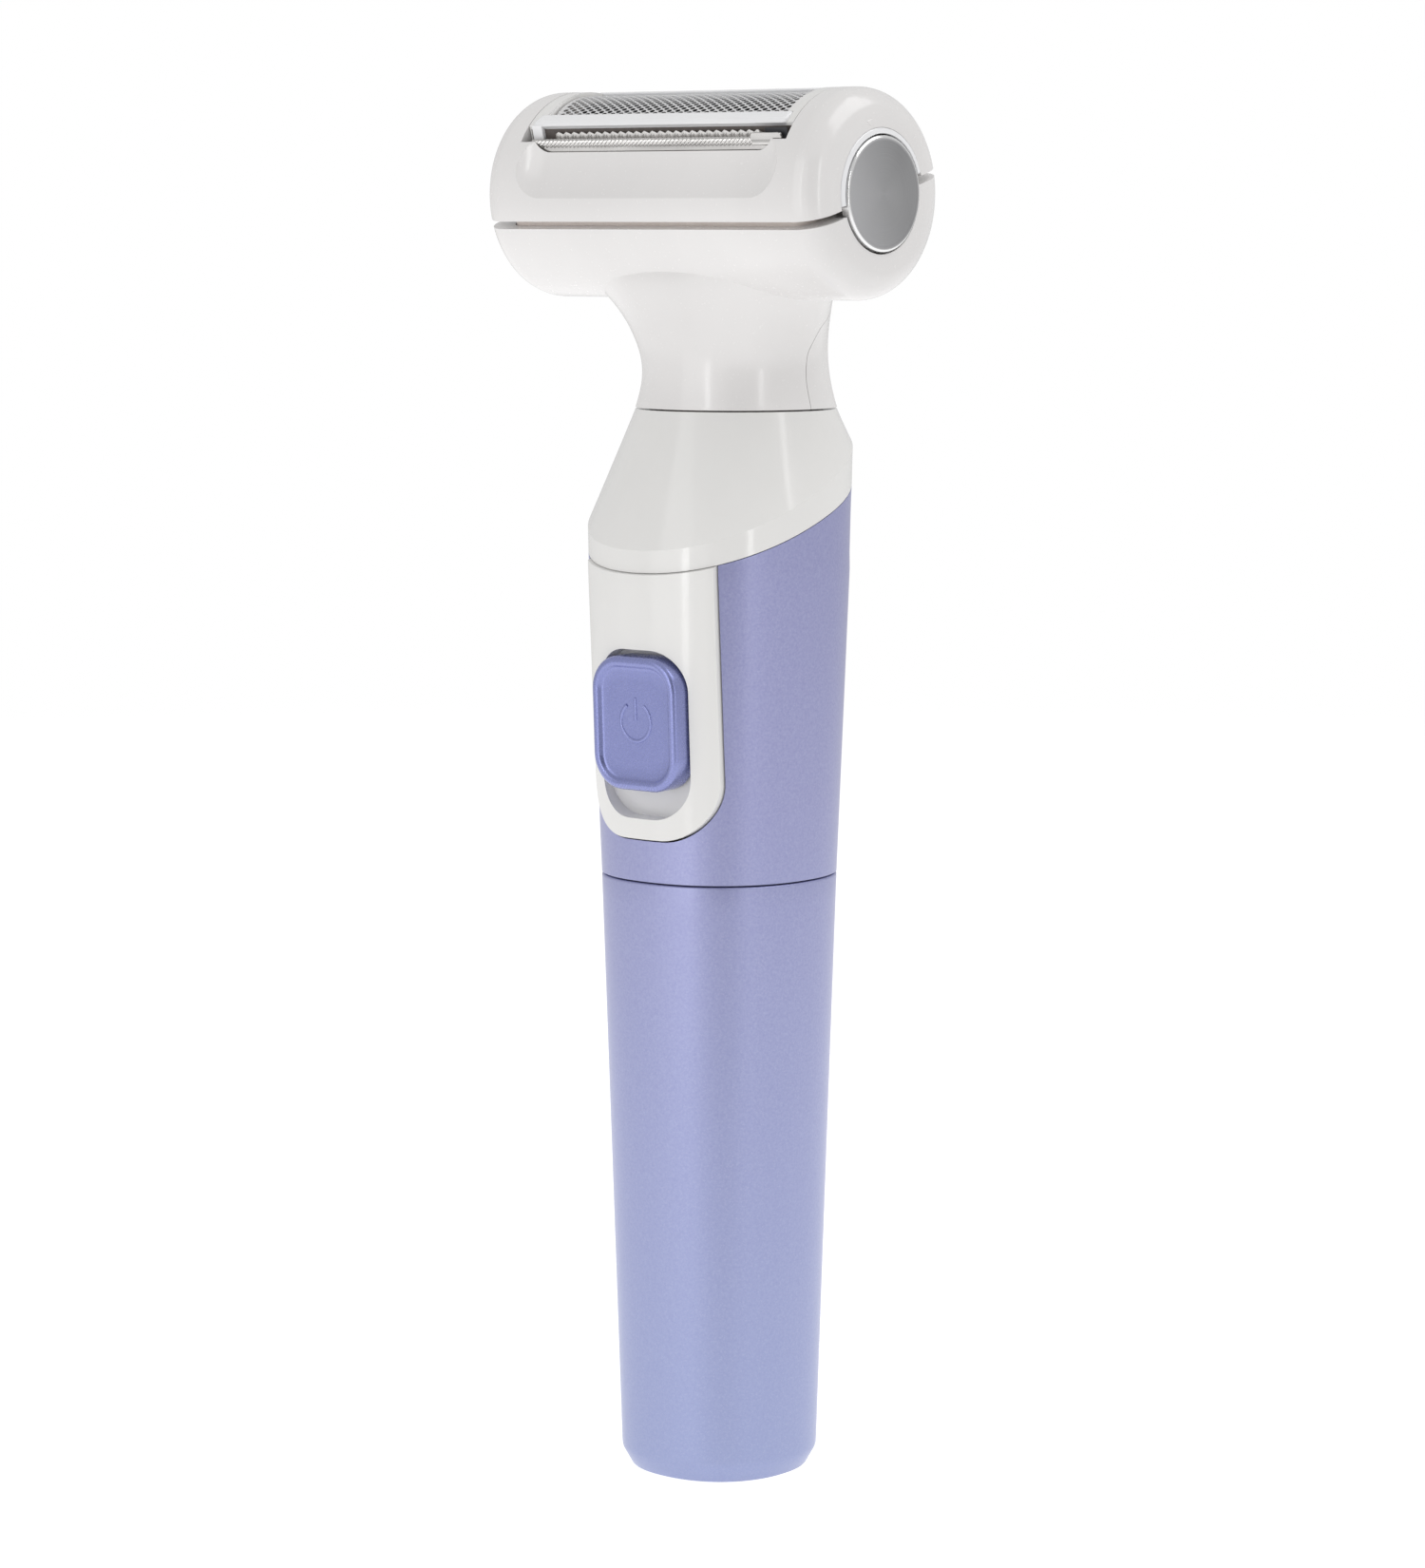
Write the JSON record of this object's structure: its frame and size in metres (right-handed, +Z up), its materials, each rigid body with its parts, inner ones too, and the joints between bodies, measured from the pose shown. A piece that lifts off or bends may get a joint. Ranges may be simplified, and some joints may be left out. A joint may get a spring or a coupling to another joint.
{
  "type": "cordless shaver",
  "caption": "Cordless foil shaver: T-shaped head leaning forward on a waisted neck, tapered handle with slide switch and pull-off battery sleeve.",
  "frame": {"origin": "centre of the handle's foot, on the surface it stands on", "axes": "+Z up the handle, -Y to the front where the switch is, X along the head's long axis"},
  "size_m": [0.0542, 0.0323, 0.17],
  "materials": {
    "pearl_lavender": "fine pearl lacquer, softly glossy",
    "white_shell": "smooth moulded gloss",
    "head_white": "smooth moulded gloss",
    "knob_lavender": "pearl lacquer with raised rim",
    "inner_plastic": "plain moulding",
    "dark_plastic": "plain moulding",
    "bright_disc": "spun bright plate",
    "guard_pearl": "polished pearl",
    "foil_steel": "thin perforated sheet",
    "blade_steel": "ground steel",
    "lamella_steel": "blackened steel",
    "can_steel": "pressed steel",
    "contact_brass": "plated strip",
    "copper_core": "wound core",
    "magnet_grey": "sintered ferrite",
    "seal_rubber": "soft ring",
    "cell_jacket": "printed sleeve, no marks"
  },
  "bodies": {
    "handle": {"grip_shell": "pearl_lavender", "switch_panel": "white_shell", "shoulder_cap": "white_shell", "chassis": "inner_plastic", "seal_ring": "seal_rubber", "battery": "cell_jacket", "battery_spring": "blade_steel", "positive_strip": "contact_brass", "negative_strip": "contact_brass", "switch_leaf": "contact_brass", "motor_can": "can_steel", "motor_end_cap": "dark_plastic", "motor_terminals": "contact_brass", "motor_magnets": "magnet_grey", "shaft_seal": "seal_rubber", "deck_screws": "blade_steel"},
    "sleeve": {"battery_sleeve": "pearl_lavender"},
    "switch": {"switch_knob": "knob_lavender", "slider_contact": "contact_brass"},
    "rotor": {"motor_shaft": "blade_steel", "armature": "copper_core", "commutator": "contact_brass", "crank": "dark_plastic"},
    "head": {"head_base": "head_white", "neck_cover": "head_white", "bayonet_ring": "inner_plastic", "rocker_pin": "blade_steel", "head_chassis": "inner_plastic", "head_screws": "blade_steel"},
    "rocker": {"rocker": "dark_plastic"},
    "carrier": {"cutter_carrier": "dark_plastic", "cutter_springs": "blade_steel"},
    "cutter": {"cutter_lamellae": "lamella_steel", "cutter_core": "inner_plastic"},
    "release_left": {"release_disc_left": "bright_disc", "release_plunger_left": "inner_plastic"},
    "release_right": {"release_disc_right": "bright_disc", "release_plunger_right": "inner_plastic"},
    "lid": {"lid": "head_white", "lid_end_left": "head_white", "lid_end_right": "head_white", "foil_frame": "white_shell", "guard_bar_front": "guard_pearl", "guard_bar_rear": "guard_pearl", "trimmer_comb_front": "blade_steel", "trimmer_comb_rear": "blade_steel"},
    "trimmers": {"trimmer_blade_front": "blade_steel", "trimmer_blade_rear": "blade_steel"},
    "foil": {"foil": "foil_steel", "foil_carrier": "inner_plastic"}
  },
  "joints": [
    {"name": "sleeve_pull", "type": "slide", "parent": "handle", "child": "sleeve", "axis": [0, 0, -1], "range_m": [0, 0.075]},
    {"name": "switch_slide", "type": "slide", "parent": "handle", "child": "switch", "axis": [0, -0.039, 0.9992], "range_m": [-0.0031, 0]},
    {"name": "rotor_spin", "type": "hinge", "parent": "handle", "child": "rotor", "pos_m": [0, 0.00318, 0.1], "axis": [0, 0, 1], "continuous": true},
    {"name": "head_twist", "type": "hinge", "parent": "handle", "child": "head", "pos_m": [0, 0.00318, 0.1315], "axis": [0, 0, 1], "range_deg": [0, 30]},
    {"name": "rocker_swing", "type": "hinge", "parent": "head", "child": "rocker", "pos_m": [0, 0.00318, 0.145], "axis": [0, 1, 0], "range_deg": [-5.45, 5.45]},
    {"name": "cutter_stroke", "type": "slide", "parent": "head", "child": "carrier", "axis": [1, 0, 0], "range_m": [-0.00125, 0.00125]},
    {"name": "foil_float", "type": "slide", "parent": "lid", "child": "foil", "axis": [0, -0.2689, 0.9632], "range_m": [-0.0008, 0], "stiffness_N_per_m": 400, "springref_m": 0.0004},
    {"name": "cutter_float", "type": "slide", "parent": "carrier", "child": "cutter", "axis": [0, -0.2689, 0.9632], "range_m": [-0.0008, 0], "stiffness_N_per_m": 300, "springref_m": 0.0004, "deforming": ["cutter_springs"]},
    {"name": "trimmer_stroke", "type": "slide", "parent": "lid", "child": "trimmers", "axis": [1, 0, 0], "range_m": [-0.00125, 0.00125]},
    {"name": "lid_lift", "type": "slide", "parent": "head", "child": "lid", "axis": [0, -0.2689, 0.9632], "range_m": [0, 0.016]},
    {"name": "release_left_press", "type": "slide", "parent": "head", "child": "release_left", "axis": [1, 0, 0], "range_m": [0, 0.0012], "stiffness_N_per_m": 600, "springref_m": -0.0005},
    {"name": "release_right_press", "type": "slide", "parent": "head", "child": "release_right", "axis": [-1, 0, 0], "range_m": [0, 0.0012], "stiffness_N_per_m": 600, "springref_m": -0.0005}
  ],
  "couplings": [
    {"joint": "rocker_swing", "follows": "cutter_stroke", "rad_per_m": 75.76},
    {"joint": "trimmer_stroke", "follows": "cutter_stroke", "ratio": 1},
    {"joint": "cutter_float", "follows": "foil_float", "ratio": 1}
  ]
}
